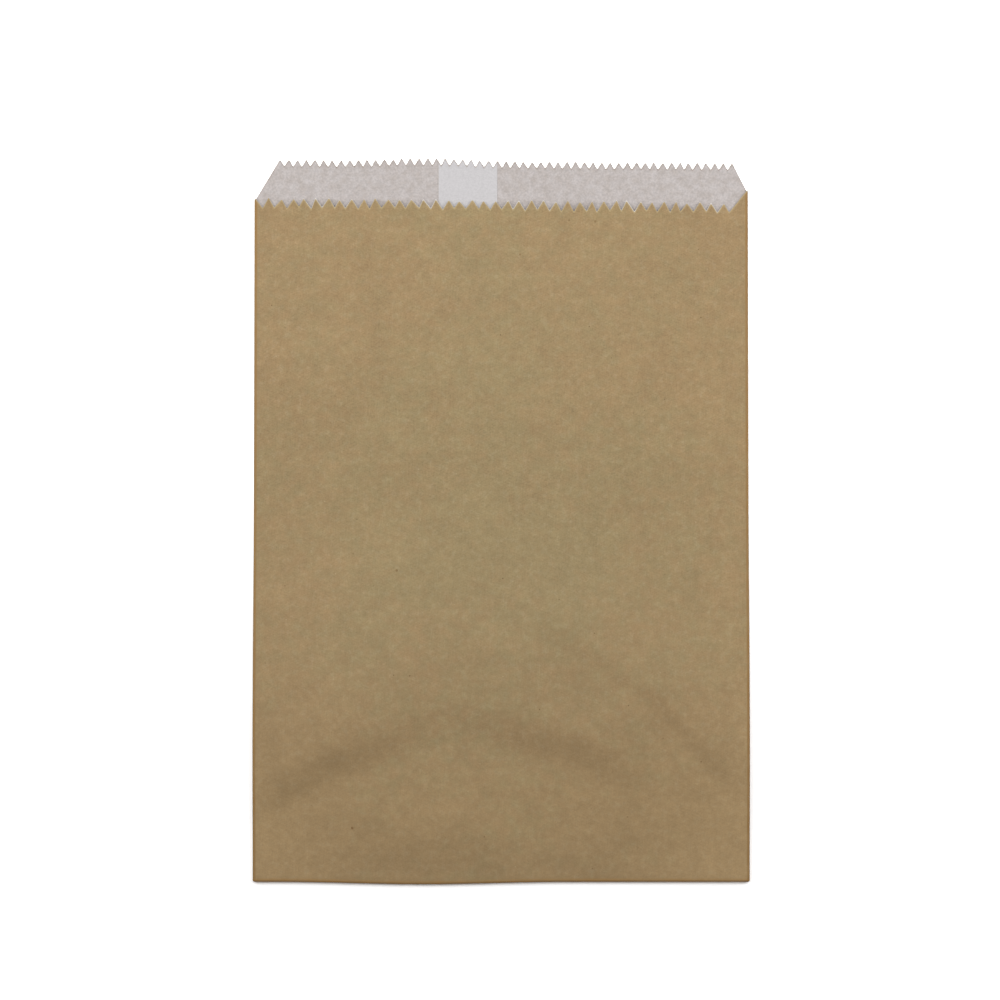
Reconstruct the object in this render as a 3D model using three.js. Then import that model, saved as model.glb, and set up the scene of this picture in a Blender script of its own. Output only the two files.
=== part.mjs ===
// A flat takeaway bag, lying on its back: an outer bag of brown kraft paper with a greaseproof liner inside.
// Each ply is one sheet. It is wrapped into a flat tube with a lapped seam down the back, cut off with a toothed
// knife that leaves the back panel standing above the front as a lip, and closed by folding its foot under.
// Millimetres. X runs across the bag, Y from the bottom fold to the mouth, and Z up from the table.

import * as THREE from "three";

// The bag.
const BAG_WIDTH = 165; // between the outsides of the side folds
const FRONT_HEIGHT = 223.7; // bottom fold to the foot of the front panel's teeth
const LIP_HEIGHT = 13.9; // how far the back panel stands above the front, from teeth to teeth
const FLAP_HEIGHT = 21; // how far the foot of the tube is folded under
const SEAM_OVERLAP = 19.6; // lap of the back seam
const SEAM_X = -11.1; // middle of the lap

// The two plies and what keeps their layers apart.
const KRAFT_THICKNESS = 0.09;
const LINER_THICKNESS = 0.05;
const PLY_GAP = 0.15; // air between the kraft and the liner
const GLUE_GAP = 0.04; // glue between two layers of one ply
const POCKET_GAP = 0.1; // least air inside the bag, where its layers are thickest
const LAP_RAMP = 1.2; // length over which a layer climbs onto the one that it laps
const DRAPE_LENGTH = 45; // length over which the back panel comes down to the table past the flap
const LINER_SLIP = 0.4; // the liner's cut stands this far above the kraft's in front, and below it behind

// The toothed cut.
const FRONT_TOOTH_PITCH = 4;
const FRONT_TOOTH_DEPTH = 3.2;
const FRONT_TOOTH_WANDER = 0.4; // how far a tooth strays from its place, up and down or sideways
const FRONT_SLANT = 1.75; // the front's cut falls this much from the left fold to the right one
const FRONT_LEFT_INSET = 2.8; // side fold to the first tooth
const FRONT_RIGHT_INSET = 6.3;
const LIP_TOOTH_PITCH = 2.9;
const LIP_TOOTH_DEPTH = 2.5;
const LIP_TOOTH_WANDER = 0.14;
const LIP_SLANT = 1.33; // the lip's cut falls this much from the left fold to the right one
const LIP_BOW = 0.85; // the lip's cut bows up this much beside the seam
const LIP_BOW_X = -23.7;
const LIP_BOW_HALF_LENGTH = 27;
const LIP_LEFT_INSET = 8.5; // width of the lip's cut-off corners
const LIP_RIGHT_INSET = 5.2;
const LEFT_FOLD_RISE = 2.9; // the side folds end this far above the foot of the front's teeth
const RIGHT_FOLD_RISE = 5.6;

// The shape that the bag lies in. Heights along the bag are measured from the bottom fold.
const HUMP_LIFT = 2.6; // the bag arches off the table by this much
const HUMP_HEIGHT = 55; // where the arch is highest
const HUMP_END = 128; // where the bag lies flat again
const PILLOW_LIFT = 0.9; // the front panel stands off the back by this much more
const PILLOW_EDGE = 26; // how far from the folds the pillow is full
const MOUTH_LIFT = 0.5; // what is left of the pillow at the mouth
const MOUTH_FADE_LENGTH = 70;
const FOOT_FADE_LENGTH = 50;
const DENT_CREASE = [ // x, height up the bag, and how far the front panel steps down over the crease there
  [-83, 25, 1.2],
  [-64, 36, 2.1],
  [-41, 46, 1.7],
  [-16, 53, 0.9],
  [5, 48.5, 1.6],
  [30, 40.5, 2],
  [44, 33, 0.9],
  [56, 22, 0],
];
const DENT_HALF_WIDTH = 8;
const DENT_FADE_LENGTH = 85; // how far above the crease the panel comes back down
const FOOT_BULGE = 0.9; // the front panel swells over the bottom fold
const FOOT_BULGE_X = -21;
const FOOT_BULGE_HALF_WIDTH = 42;
const FOOT_BULGE_HEIGHT = 16;
const FOLD_BOW = 0.8; // the bottom fold bows outwards by this much
const FOLD_BOW_X = -26;
const FOLD_BOW_HALF_WIDTH = 48;
const FOLD_BOW_FADE = 30;

// How finely the paper is divided.
const COLUMN_STEP = 16; // across the front panel
const WAVE_ROW_STEP = 11.5; // up to the end of the arch
const PANEL_ROW_STEP = 45; // above it
const FOLD_STEPS = 4; // across each side fold and round the bottom fold
const TOOTH_MARGIN = 1; // plain paper kept below the teeth

// Worked out from the sizes above.
const KRAFT_STEP = KRAFT_THICKNESS + GLUE_GAP;
const LINER_STEP = LINER_THICKNESS + GLUE_GAP;
const LINER_DEPTH = KRAFT_THICKNESS + PLY_GAP;
const LINED_WALL = LINER_DEPTH + LINER_THICKNESS;
const PRESSED_HEIGHT = 2 * LINED_WALL + KRAFT_STEP + LINER_STEP + POCKET_GAP; // outside, where the bag is flattest
const FOLD_RADIUS = PRESSED_HEIGHT / 2;
const PANEL_HALF_WIDTH = BAG_WIDTH / 2 - FOLD_RADIUS;
const BEND_GAP = GLUE_GAP / 2 + 0.01; // half of the space between the back panel and the foot folded under it
const BEND_LENGTH = Math.PI * (FOLD_RADIUS + BEND_GAP);
const TUBE_LENGTH = FRONT_HEIGHT + BEND_LENGTH + FLAP_HEIGHT; // one knife cut to the next
const SEAM_LEFT = SEAM_X - SEAM_OVERLAP / 2;
const SEAM_RIGHT = SEAM_X + SEAM_OVERLAP / 2;
const FRONT_LEFT = -BAG_WIDTH / 2 + FRONT_LEFT_INSET;
const FRONT_RIGHT = BAG_WIDTH / 2 - FRONT_RIGHT_INSET;
const LIP_LEFT = -BAG_WIDTH / 2 + LIP_LEFT_INSET;
const LIP_RIGHT = BAG_WIDTH / 2 - LIP_RIGHT_INSET;

const ease = (t) => THREE.MathUtils.smoothstep(t, 0, 1);
const bell = (t) => ease(1 - Math.abs(t));
const mix = THREE.MathUtils.lerp;
const share = (t, from, to) => THREE.MathUtils.clamp((t - from) / (to - from), 0, 1);

// A repeatable number from -1 to 1 for each tooth, the same on every run.
function stray(tooth, salt) {
  const wave = Math.sin(tooth * 12.9898 + salt * 78.233) * 43758.5453;
  return 2 * (wave - Math.floor(wave)) - 1;
}

// Foot of the teeth on each panel, as a height above the bottom fold.
const frontLine = (x) => FRONT_HEIGHT - FRONT_SLANT * (x / BAG_WIDTH + 0.5);

const lipLine = (x) =>
  FRONT_HEIGHT + LIP_HEIGHT - LIP_SLANT * (x / BAG_WIDTH + 0.5)
  + LIP_BOW * bell((x - LIP_BOW_X) / LIP_BOW_HALF_LENGTH);

// Points of a row of teeth from left to right, and whether each is a tip.
function teeth({ left, right, pitch, depth, wander, line, startsAtTip, salt }) {
  const halves = 2 * Math.max(1, Math.round((right - left) / pitch));
  const points = [];
  for (let i = 0; i <= halves; i += 1) {
    const isEnd = i === 0 || i === halves;
    const isTip = (i % 2 === 0) === startsAtTip;
    const x = mix(left, right, i / halves) + (isEnd ? 0 : wander * stray(i, salt));
    points.push([x, line(x) + (isTip ? depth : 0) + wander * stray(i, salt + 1), isTip]);
  }
  return points;
}

const LEFT_FOLD_TOP = FRONT_HEIGHT + LEFT_FOLD_RISE;
const RIGHT_FOLD_TOP = FRONT_HEIGHT + RIGHT_FOLD_RISE;
const LEFT_END = [-PANEL_HALF_WIDTH, LEFT_FOLD_TOP];
const RIGHT_END = [PANEL_HALF_WIDTH, RIGHT_FOLD_TOP];

const FRONT_TEETH = teeth({
  left: FRONT_LEFT,
  right: FRONT_RIGHT,
  pitch: FRONT_TOOTH_PITCH,
  depth: FRONT_TOOTH_DEPTH,
  wander: FRONT_TOOTH_WANDER,
  line: frontLine,
  startsAtTip: false,
  salt: 3,
});
const LIP_TEETH = teeth({
  left: LIP_LEFT,
  right: LIP_RIGHT,
  pitch: LIP_TOOTH_PITCH,
  depth: LIP_TOOTH_DEPTH,
  wander: LIP_TOOTH_WANDER,
  line: lipLine,
  startsAtTip: true,
  salt: 7,
});

const CUTS = {
  front: [LEFT_END, ...FRONT_TEETH, RIGHT_END],
  back: [LEFT_END, ...LIP_TEETH, RIGHT_END],
};

// Height of a polyline of [x, height] points at x.
function heightOn(points, x) {
  const last = points.length - 1;
  const found = points.findIndex(([px]) => px >= x);
  const i = THREE.MathUtils.clamp(found < 0 ? last : found, 1, last);
  const [x0, y0] = points[i - 1];
  const [x1, y1] = points[i];
  return mix(y0, y1, share(x, x0, x1));
}

// The cut with its teeth smoothed away, at their foot or their tips.
const SMOOTH_CUTS = {
  front: (x, depth) => heightOn([
    LEFT_END,
    [FRONT_LEFT, frontLine(FRONT_LEFT) + depth],
    [FRONT_RIGHT, frontLine(FRONT_RIGHT) + depth],
    RIGHT_END,
  ], x),
  back: (x, depth) => Math.min(
    lipLine(x) + depth,
    heightOn([LEFT_END, [LIP_LEFT, lipLine(LIP_LEFT) + depth], [0, 2 * TUBE_LENGTH]], x),
    heightOn([[0, 2 * TUBE_LENGTH], [LIP_RIGHT, lipLine(LIP_RIGHT) + depth], RIGHT_END], x),
  ),
};

// The folded foot lies under the back panel and holds it off the table.
const FOOT_REACH = FLAP_HEIGHT - Math.min(LEFT_FOLD_RISE, RIGHT_FOLD_RISE) + TOOTH_MARGIN;
const FOOT_STACK = PRESSED_HEIGHT + 2 * BEND_GAP;
const lie = (height) => FOOT_STACK * (1 - ease(share(height, FOOT_REACH, FOOT_REACH + DRAPE_LENGTH)));

// The arch of the whole bag off the table.
const hump = (height) =>
  HUMP_LIFT * ease(share(height, 0, HUMP_HEIGHT)) * (1 - ease(share(height, HUMP_HEIGHT, HUMP_END)));

// How far the front panel stands off the back one, over their pressed height.
function puff(x, height) {
  const fromFold = PANEL_HALF_WIDTH - Math.abs(x);
  const nearFold = ease(fromFold / PILLOW_EDGE);
  const lift = mix(PILLOW_LIFT, MOUTH_LIFT, ease(share(height, FRONT_HEIGHT - MOUTH_FADE_LENGTH, FRONT_HEIGHT)));
  const pillow = lift * nearFold * ease(height / FOOT_FADE_LENGTH);

  const above = height - heightOn(DENT_CREASE, x);
  const drop = heightOn(DENT_CREASE.map(([px, , value]) => [px, value]), x);
  const step = ease(share(above, -DENT_HALF_WIDTH, DENT_HALF_WIDTH))
    * (1 - ease(share(above, DENT_HALF_WIDTH, DENT_FADE_LENGTH)));
  const dent = drop * step * ease(fromFold / DENT_HALF_WIDTH);

  const swell = ease(height / FOOT_BULGE_HEIGHT) * (1 - ease(share(height, FOOT_BULGE_HEIGHT, 3 * FOOT_BULGE_HEIGHT)));
  const foot = FOOT_BULGE * swell * bell((x - FOOT_BULGE_X) / FOOT_BULGE_HALF_WIDTH);
  return height > 0 && fromFold > 0 ? pillow + dent + foot : 0;
}

// Puts a point of the flattened tube in its place. rise is its height above the tube's own back face, and height
// is how far up the tube it is: below 0 it goes round the bottom fold, and then back under the bag.
function place(x, rise, height) {
  const bow = -FOLD_BOW * bell((x - FOLD_BOW_X) / FOLD_BOW_HALF_WIDTH);
  if (height >= 0) {
    return new THREE.Vector3(
      x,
      height + bow * (1 - share(height, 0, FOLD_BOW_FADE)),
      lie(height) + hump(height) + rise,
    );
  }
  const turn = Math.PI * share(-height, 0, BEND_LENGTH);
  const radius = rise + BEND_GAP;
  const under = Math.max(0, -height - BEND_LENGTH);
  return new THREE.Vector3(
    x,
    under - radius * Math.sin(turn) + bow * (1 - share(under, 0, FOLD_BOW_FADE)),
    PRESSED_HEIGHT + BEND_GAP + radius * Math.cos(turn) + hump(under),
  );
}

const rampUp = (x) => share(x, SEAM_LEFT - LAP_RAMP, SEAM_LEFT);
const rampDown = (x) => 1 - share(x, SEAM_RIGHT, SEAM_RIGHT + LAP_RAMP);

// What lifts each ply off the tube's back face. The left half of the back laps over the right one, on the inside.
const PLIES = {
  kraft: {
    depth: 0,
    thickness: KRAFT_THICKNESS,
    slip: 0,
    showsItsFoot: true,
    lap: (x, isLeft) => (isLeft ? KRAFT_STEP * rampUp(x) : 0),
  },
  liner: {
    depth: LINER_DEPTH,
    thickness: LINER_THICKNESS,
    slip: LINER_SLIP,
    showsItsFoot: false,
    lap: (x, isLeft) => KRAFT_STEP * rampUp(x) * rampDown(x) + (isLeft ? LINER_STEP * rampUp(x) : 0),
  },
};

// A point of a ply at depth under the tube's outer skin.
function pointOf(ply, station, depth, height) {
  const { panel, x, turn } = station;
  if (panel === "front") return place(x, PRESSED_HEIGHT + puff(x, height) - depth, height);
  if (panel === "fold") {
    const radius = FOLD_RADIUS - depth;
    const side = Math.sign(x);
    const across = side * (PANEL_HALF_WIDTH + radius * Math.cos(turn));
    return place(across, FOLD_RADIUS + radius * Math.sin(turn), height);
  }
  return place(x, depth + ply.lap(x, panel === "left back"), height);
}

// The marks, and between them as many more numbers as keep each step under its limit.
function divide(marks, stepAt) {
  const sorted = [...marks].sort((a, b) => a - b);
  const list = [sorted[0]];
  for (const mark of sorted.slice(1)) {
    const from = list[list.length - 1];
    const parts = Math.max(1, Math.ceil((mark - from) / stepAt((from + mark) / 2)));
    for (let i = 1; i <= parts; i += 1) list.push(mix(from, mark, i / parts));
  }
  return list;
}

const SEAM_MARKS = [SEAM_LEFT - LAP_RAMP, SEAM_LEFT, SEAM_RIGHT, SEAM_RIGHT + LAP_RAMP];
const BACK_MARKS = [-PANEL_HALF_WIDTH, LIP_LEFT, ...SEAM_MARKS, LIP_RIGHT, PANEL_HALF_WIDTH];
const FRONT_MARKS = [-PANEL_HALF_WIDTH, FRONT_LEFT, FRONT_RIGHT, PANEL_HALF_WIDTH];

// Walks once round the tube, from the end of the right back panel to the end of the left one. frontXs and backXs
// are the places to stop at, from left to right. Each stop keeps its distance along the sheet as its girth.
function stations(frontXs, backXs) {
  const arc = Math.PI * FOLD_RADIUS;
  const walk = [];
  let start = -SEAM_LEFT;
  for (const x of backXs.filter((value) => value >= SEAM_LEFT)) {
    walk.push({ panel: "right back", x, girth: start + x });
  }
  start += PANEL_HALF_WIDTH;
  for (let i = 1; i < FOLD_STEPS; i += 1) {
    const turn = Math.PI * (i / FOLD_STEPS - 0.5);
    walk.push({ panel: "fold", x: PANEL_HALF_WIDTH, turn, girth: start + (arc * i) / FOLD_STEPS });
  }
  start += arc + PANEL_HALF_WIDTH;
  for (const x of [...frontXs].reverse()) walk.push({ panel: "front", x, girth: start - x });
  start += PANEL_HALF_WIDTH;
  for (let i = 1; i < FOLD_STEPS; i += 1) {
    const turn = Math.PI * (0.5 - i / FOLD_STEPS);
    walk.push({ panel: "fold", x: -PANEL_HALF_WIDTH, turn, girth: start + (arc * i) / FOLD_STEPS });
  }
  start += arc + PANEL_HALF_WIDTH;
  for (const x of backXs.filter((value) => value <= SEAM_RIGHT)) {
    walk.push({ panel: "left back", x, girth: start + x });
  }
  return walk;
}

const xOf = ([x]) => x;
const isTip = (point) => point[2];
const isFoot = (point) => !point[2];
const merge = (...lists) => [...new Set(lists.flat())].sort((a, b) => a - b);

// Plain paper stops every COLUMN_STEP and toothed paper at each corner of its teeth. In between, a row stops at
// the notches alone, so that no triangle of a tooth leans out over a notch.
const COARSE_WALK = stations(divide(FRONT_MARKS, () => COLUMN_STEP), BACK_MARKS);
const FOOT_WALK = stations(CUTS.front.map(xOf), BACK_MARKS);
const FOOT_NOTCH_WALK = stations(merge(FRONT_MARKS, FRONT_TEETH.filter(isTip).map(xOf)), BACK_MARKS);
const MOUTH_WALK = stations(CUTS.front.map(xOf), merge(CUTS.back.map(xOf), SEAM_MARKS));
const MOUTH_NOTCH_WALK = stations(
  merge(FRONT_MARKS, FRONT_TEETH.filter(isFoot).map(xOf)),
  merge(BACK_MARKS, LIP_TEETH.filter(isFoot).map(xOf)),
);

const sideOf = (station) => (station.panel === "front" ? "front" : "back");
// 1 where a slipped ply stands above the other one, -1 where it stays below, and 0 at the ends of the panels.
function slipSide({ panel, x }) {
  if (panel === "fold" || Math.abs(x) === PANEL_HALF_WIDTH) return 0;
  return panel === "front" ? 1 : -1;
}

const foldTop = (station) => (station.x < 0 ? LEFT_FOLD_TOP : RIGHT_FOLD_TOP);

// Where the knife crosses a stop, with its teeth or smoothed at their foot (depth 0) or tips.
const cutAt = (station) => (
  station.panel === "fold" ? foldTop(station) : heightOn(CUTS[sideOf(station)], station.x));

function smoothCutAt(station, atTips) {
  if (station.panel === "fold") return foldTop(station);
  const depth = station.panel === "front" ? FRONT_TOOTH_DEPTH : LIP_TOOTH_DEPTH;
  return SMOOTH_CUTS[sideOf(station)](station.x, atTips ? depth : 0);
}

// Heights of the rows of the sheet at each stop, from the foot of the tube to its mouth. At the foot only the
// kraft's front panel shows its teeth, so the layers behind it are cut straight.
function rows(ply) {
  const neck = Math.min(LEFT_FOLD_TOP, RIGHT_FOLD_TOP, frontLine(FRONT_RIGHT)) - 5 * TOOTH_MARGIN;
  const bends = Array.from({ length: FOLD_STEPS }, (_, i) => -BEND_LENGTH * (1 - i / FOLD_STEPS));
  const marks = [0, FOOT_REACH, HUMP_END, neck];
  const levels = divide(marks, (height) => (height < HUMP_END ? WAVE_ROW_STEP : PANEL_ROW_STEP));
  const row = (walk, heightAt) => walk.map((station) => ({ station, height: heightAt(station) }));
  const hasTeeth = (station) => ply.showsItsFoot && station.panel === "front";
  const footAt = (station) => (hasTeeth(station) ? cutAt(station) : smoothCutAt(station, true) + ply.slip);
  return [
    row(ply.showsItsFoot ? FOOT_WALK : COARSE_WALK, (station) => footAt(station) - TUBE_LENGTH),
    row(
      ply.showsItsFoot ? FOOT_NOTCH_WALK : COARSE_WALK,
      (station) => smoothCutAt(station, true) - TUBE_LENGTH + TOOTH_MARGIN,
    ),
    ...[...bends, ...levels].map((height) => row(COARSE_WALK, () => height)),
    row(MOUTH_NOTCH_WALK, (station) => smoothCutAt(station, false) - TOOTH_MARGIN),
    row(MOUTH_WALK, (station) => cutAt(station) + ply.slip * slipSide(station)),
  ];
}

// Joins two rows with triangles. The row that lags along the girth always goes next.
function zip(lower, upper, triangles) {
  let i = 0;
  let j = 0;
  while (i < lower.length - 1 || j < upper.length - 1) {
    const lowerNext = lower[i + 1]?.station.girth ?? Infinity;
    const upperNext = upper[j + 1]?.station.girth ?? Infinity;
    if (lowerNext <= upperNext) {
      triangles.push([lower[i].index, upper[j].index, lower[i + 1].index]);
      i += 1;
    } else {
      triangles.push([lower[i].index, upper[j].index, upper[j + 1].index]);
      j += 1;
    }
  }
}

// One folded sheet as a closed solid: its outer face, its inner face and the cut edge between them.
function foldedSheet(ply) {
  const sheet = rows(ply);
  const stops = sheet.flat();
  stops.forEach((stop, index) => {
    stop.index = index;
  });
  const triangles = [];
  for (let i = 1; i < sheet.length; i += 1) zip(sheet[i - 1], sheet[i], triangles);

  const faces = [ply.depth, ply.depth + ply.thickness];
  const positions = faces.flatMap((depth) => stops.flatMap(
    ({ station, height }) => pointOf(ply, station, depth, height).toArray(),
  ));
  const inner = stops.length;
  const index = triangles.flatMap(([a, b, c]) => [a, b, c, inner + a, inner + c, inner + b]);
  const edges = triangles.flatMap(([a, b, c]) => [[a, b], [b, c], [c, a]]);
  const seen = new Set(edges.map(([a, b]) => `${a},${b}`));
  for (const [a, b] of edges) {
    if (!seen.has(`${b},${a}`)) index.push(b, a, inner + a, b, inner + a, inner + b);
  }

  const geometry = new THREE.BufferGeometry();
  geometry.setAttribute("position", new THREE.Float32BufferAttribute(positions, 3));
  geometry.setIndex(index);
  geometry.computeVertexNormals();
  return geometry;
}

function paper(name, ply, color, roughness) {
  const material = new THREE.MeshStandardMaterial({ color, roughness, metalness: 0 });
  const mesh = new THREE.Mesh(foldedSheet(ply), material);
  mesh.name = name;
  return mesh;
}

const bag = new THREE.Group();
bag.add(paper("kraft_bag", PLIES.kraft, 0xa58f6b, 0.7));
bag.add(paper("greaseproof_liner", PLIES.liner, 0xd6d0cd, 0.55));

// The origin is under the middle of the bag, on the table.
const bounds = new THREE.Box3().setFromObject(bag);
const middle = bounds.getCenter(new THREE.Vector3());
bag.position.set(-middle.x, -middle.y, -bounds.min.z);

const part = new THREE.Group();
part.add(bag);

export default part;
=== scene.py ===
# A flat brown takeaway bag with a white greaseproof liner, lying on its back, seen from above.
# Both plies are drawn again as fine sheets, folded on the same lines as the frame's own solids. The shapes
# are worked out in millimetres and stored in metres.

import math

import bpy
import numpy as np
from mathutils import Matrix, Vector


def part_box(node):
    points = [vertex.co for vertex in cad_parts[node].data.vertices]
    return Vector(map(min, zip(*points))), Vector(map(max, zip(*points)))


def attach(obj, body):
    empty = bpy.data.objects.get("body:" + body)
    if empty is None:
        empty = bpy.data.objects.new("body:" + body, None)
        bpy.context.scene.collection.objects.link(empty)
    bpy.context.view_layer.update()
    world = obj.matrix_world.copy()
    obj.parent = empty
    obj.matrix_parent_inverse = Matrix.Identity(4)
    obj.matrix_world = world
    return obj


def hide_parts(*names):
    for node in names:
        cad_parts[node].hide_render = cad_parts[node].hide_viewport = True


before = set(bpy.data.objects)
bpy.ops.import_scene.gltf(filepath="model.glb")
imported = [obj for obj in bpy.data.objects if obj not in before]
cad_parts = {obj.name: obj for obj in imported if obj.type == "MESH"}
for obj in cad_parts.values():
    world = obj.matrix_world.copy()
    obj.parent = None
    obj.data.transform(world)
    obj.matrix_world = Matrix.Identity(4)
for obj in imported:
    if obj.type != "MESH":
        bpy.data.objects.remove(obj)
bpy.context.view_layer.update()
MM = 0.001

# The bag.
BAG_WIDTH = 165
FRONT_HEIGHT = 223.7
LIP_HEIGHT = 13.9
FLAP_HEIGHT = 21
SEAM_OVERLAP = 19.6
SEAM_X = -11.1

# The two plies.
KRAFT_THICKNESS = 0.09
LINER_THICKNESS = 0.05
PLY_GAP = 0.15
GLUE_GAP = 0.04
POCKET_GAP = 0.1
LAP_RAMP = 1.2
DRAPE_LENGTH = 45
LINER_SLIP = 0.4
LIP_SLIP_SHARE = 0.5
SLIP_FADE = 4

# How much of the liner's slip shows past the front teeth, and the waves in which that changes along them.
PEEK_MEAN = 0.3
PEEK_WAVES = [(0.35, 5.3), (0.25, 2.1)]

# The toothed cut.
FRONT_TOOTH_PITCH = 4
FRONT_TOOTH_DEPTH = 3.2
FRONT_TOOTH_WANDER = 0.4
FRONT_SLANT = 1.75
FRONT_LEFT_INSET = 2.8
FRONT_RIGHT_INSET = 6.3
LIP_TOOTH_PITCH = 2.9
LIP_TOOTH_DEPTH = 2.5
LIP_TOOTH_WANDER = 0.14
LIP_SLANT = 1.33
LIP_BOW = 0.85
LIP_BOW_X = -23.7
LIP_BOW_HALF_LENGTH = 27
LIP_LEFT_INSET = 8.5
LIP_RIGHT_INSET = 5.2
LEFT_FOLD_RISE = 2.9
RIGHT_FOLD_RISE = 5.6
TIP_ROUNDING = 0.16
RAGGEDNESS = 0.05
FRONT_SALT = 3
LIP_SALT = 7
FRONT_TEAR_SEED = 11
LIP_TEAR_SEED = 12

# The shape that the bag lies in.
HUMP_LIFT = 2.6
HUMP_HEIGHT = 55
HUMP_END = 128
PILLOW_LIFT = 0.9
PILLOW_EDGE = 26
MOUTH_LIFT = 0.5
MOUTH_FADE_LENGTH = 70
FOOT_FADE_LENGTH = 50
DENT_CREASE = [  # x, height up the bag, and how far the front panel steps down over the crease there
    (-83, 25, 1.2),
    (-64, 36, 2.1),
    (-41, 46, 1.7),
    (-16, 53, 0.9),
    (5, 48.5, 1.6),
    (30, 40.5, 2),
    (44, 33, 0.9),
    (56, 22, 0),
]
DENT_HALF_WIDTH = 8
DENT_BLUNTING = 9
DENT_FADE_LENGTH = 85
FOOT_BULGE = 0.9
FOOT_BULGE_X = -21
FOOT_BULGE_HALF_WIDTH = 42
FOOT_BULGE_HEIGHT = 16
FOLD_BOW = 0.8
FOLD_BOW_X = -26
FOLD_BOW_HALF_WIDTH = 48
FOLD_BOW_FADE = 30

# Fine creases across the front panel: the points they run through, from the left, how far the panel steps
# down over them, and their half width. A step the other way eases the big dent beside it.
CREASES = [
    ([(12, 84), (27, 76), (37, 69), (48.7, 60), (58.7, 50), (67, 41.6), (76, 34)], 0.85, 4.2),
    ([(48, 63.5), (58.7, 51), (67, 42), (76, 34)], 0.3, 2.6),
    ([(58, 36), (62, 31.6), (69, 23)], 0.35, 2.4),
    ([(-20, 50), (-14, 50.5), (-7, 46)], -0.12, 2.2),
    ([(-84, 23), (-57, 33.5), (-43, 40), (-30, 45)], 0.45, 4.5),
    ([(-84, 34), (-57, 45), (-43, 50), (-30, 53)], -0.3, 4.5),
]
CREASE_END = 5

# The same for fine creases that run up the panel: the points from the bottom, the step and the half width.
STREAKS = [
    ([(60.3, 161), (50.3, 173), (51.3, 212)], 0.1, 2.0),
    ([(-33.7, 169), (-38.5, 185), (-43.8, 200)], 0.1, 2.2),
]
STREAK_END = 12
CREASE_FADE = 7  # half widths from a crease to where its step has faded out

# Waves in the paper: the length of each, its lift, its phase and how far it leans.
COCKLES = [
    (31, 0.10, 0.7, 1.0),
    (17, 0.045, 2.1, -0.6),
    (9, 0.016, 4.4, 1.7),
    (6.3, 0.009, 0.4, -2.3),
]

# Creases and waves fade out towards the side folds, the foot and the mouth.
FINE_SIDE_FADE = 12
FINE_FOOT_FADE = 10
FINE_MOUTH_FADE = 30
FINE_MOUTH_OVERRUN = 10

# Painted light and shade on the front panel, in paler and darker fields that stand in for the shading of its
# gentle undulations: the middle of each, its half width and height, and the change.
SHADING_FIELDS = [
    (0, 24, 170, 28, 0.14),
    (82, 4, 50, 40, 0.2),
    (-82, 4, 44, 34, 0.14),
    (-76, 60, 60, 40, 0.03),
    (76, 60, 60, 40, 0.03),
    (-58, 148, 34, 30, -0.025),
    (28, 118, 44, 38, -0.02),
    (-46, 102, 46, 46, 0.03),
    (76, 105, 22, 70, 0.035),
    (-44, 188, 10, 24, -0.03),
    (51.5, 190, 8, 30, -0.03),
    (68, 212, 34, 34, -0.035),
    (72, 158, 18, 26, 0.03),
    (-14, 196, 20, 16, -0.02),
    (82, 52, 12, 30, 0.06),
    (84, 64, 28, 56, 0.045),
]

# How warm a tint the paper is given, and the slopes between which a crease adds painted shade to it, where
# the front panel faces away from the back light.
WARMTH = 0.1
SIDE_WARMTH = 0.45
TOP_WARMTH = 0.4
BOTTOM_WARMTH = 0.75
CREASE_PAINTED_SHADE = 0.5
CREASE_SLOPES = (0.04, 0.14)

# Single dark specks in the pulp of the front panel: x, height up the bag, radius and depth of colour.
SPECKS = [
    (-49.4, 17.3, 0.5, 0.6),
    (-34.7, 102.5, 0.45, 0.5),
    (31.4, 219, 0.45, 0.45),
    (6.3, 208, 0.4, 0.4),
    (22.7, 219.4, 0.35, 0.35),
    (-74.2, 226, 0.6, 0.5),
    (-44.8, 225, 0.45, 0.5),
    (-49.2, 108, 0.35, 0.3),
]

# How finely the paper is divided.
COLUMN_STEP = 1.6
ROW_STEP = 1.6
CUT_STEP = 0.25
FOLD_STEPS = 8
TOOTH_MARGIN = 1
NECK_MARGIN = 5
SHARP_ANGLE = 50
INNER_FACE_SHIFT = 200  # keeps the patterns of a sheet's two faces apart

# The table, the light and the camera, in metres. The camera looks straight down, apart from a slight lean.
FLOOR_SIZE = 6.0
FLOOR_DROP = 0.0001
SOFTBOXES = [  # name, place, width and length, power in watts
    ("left softbox", (-0.33, 0.12, 0.36), (0.25, 0.45), 1.15),
    ("right softbox", (0.33, 0.12, 0.36), (0.25, 0.45), 1.15),
    ("back softbox", (0, 0.42, 0.32), (0.5, 0.2), 1.1),
]
WORLD_STRENGTH = 0.2
CAMERA_DISTANCE = 0.8
CAMERA_LEAN = 1.3
VIEW_WIDTH = 0.3337
AIM = (-0.0004, 0.0066, 0.0)

KRAFT_STEP = KRAFT_THICKNESS + GLUE_GAP
LINER_STEP = LINER_THICKNESS + GLUE_GAP
LINER_DEPTH = KRAFT_THICKNESS + PLY_GAP
LINED_WALL = LINER_DEPTH + LINER_THICKNESS
PRESSED_HEIGHT = 2 * LINED_WALL + KRAFT_STEP + LINER_STEP + POCKET_GAP
FOLD_RADIUS = PRESSED_HEIGHT / 2
PANEL_HALF_WIDTH = BAG_WIDTH / 2 - FOLD_RADIUS
BEND_GAP = GLUE_GAP / 2 + 0.01
BEND_LENGTH = math.pi * (FOLD_RADIUS + BEND_GAP)
TUBE_LENGTH = FRONT_HEIGHT + BEND_LENGTH + FLAP_HEIGHT
SEAM_LEFT = SEAM_X - SEAM_OVERLAP / 2
SEAM_RIGHT = SEAM_X + SEAM_OVERLAP / 2
FRONT_LEFT = -BAG_WIDTH / 2 + FRONT_LEFT_INSET
FRONT_RIGHT = BAG_WIDTH / 2 - FRONT_RIGHT_INSET
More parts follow.
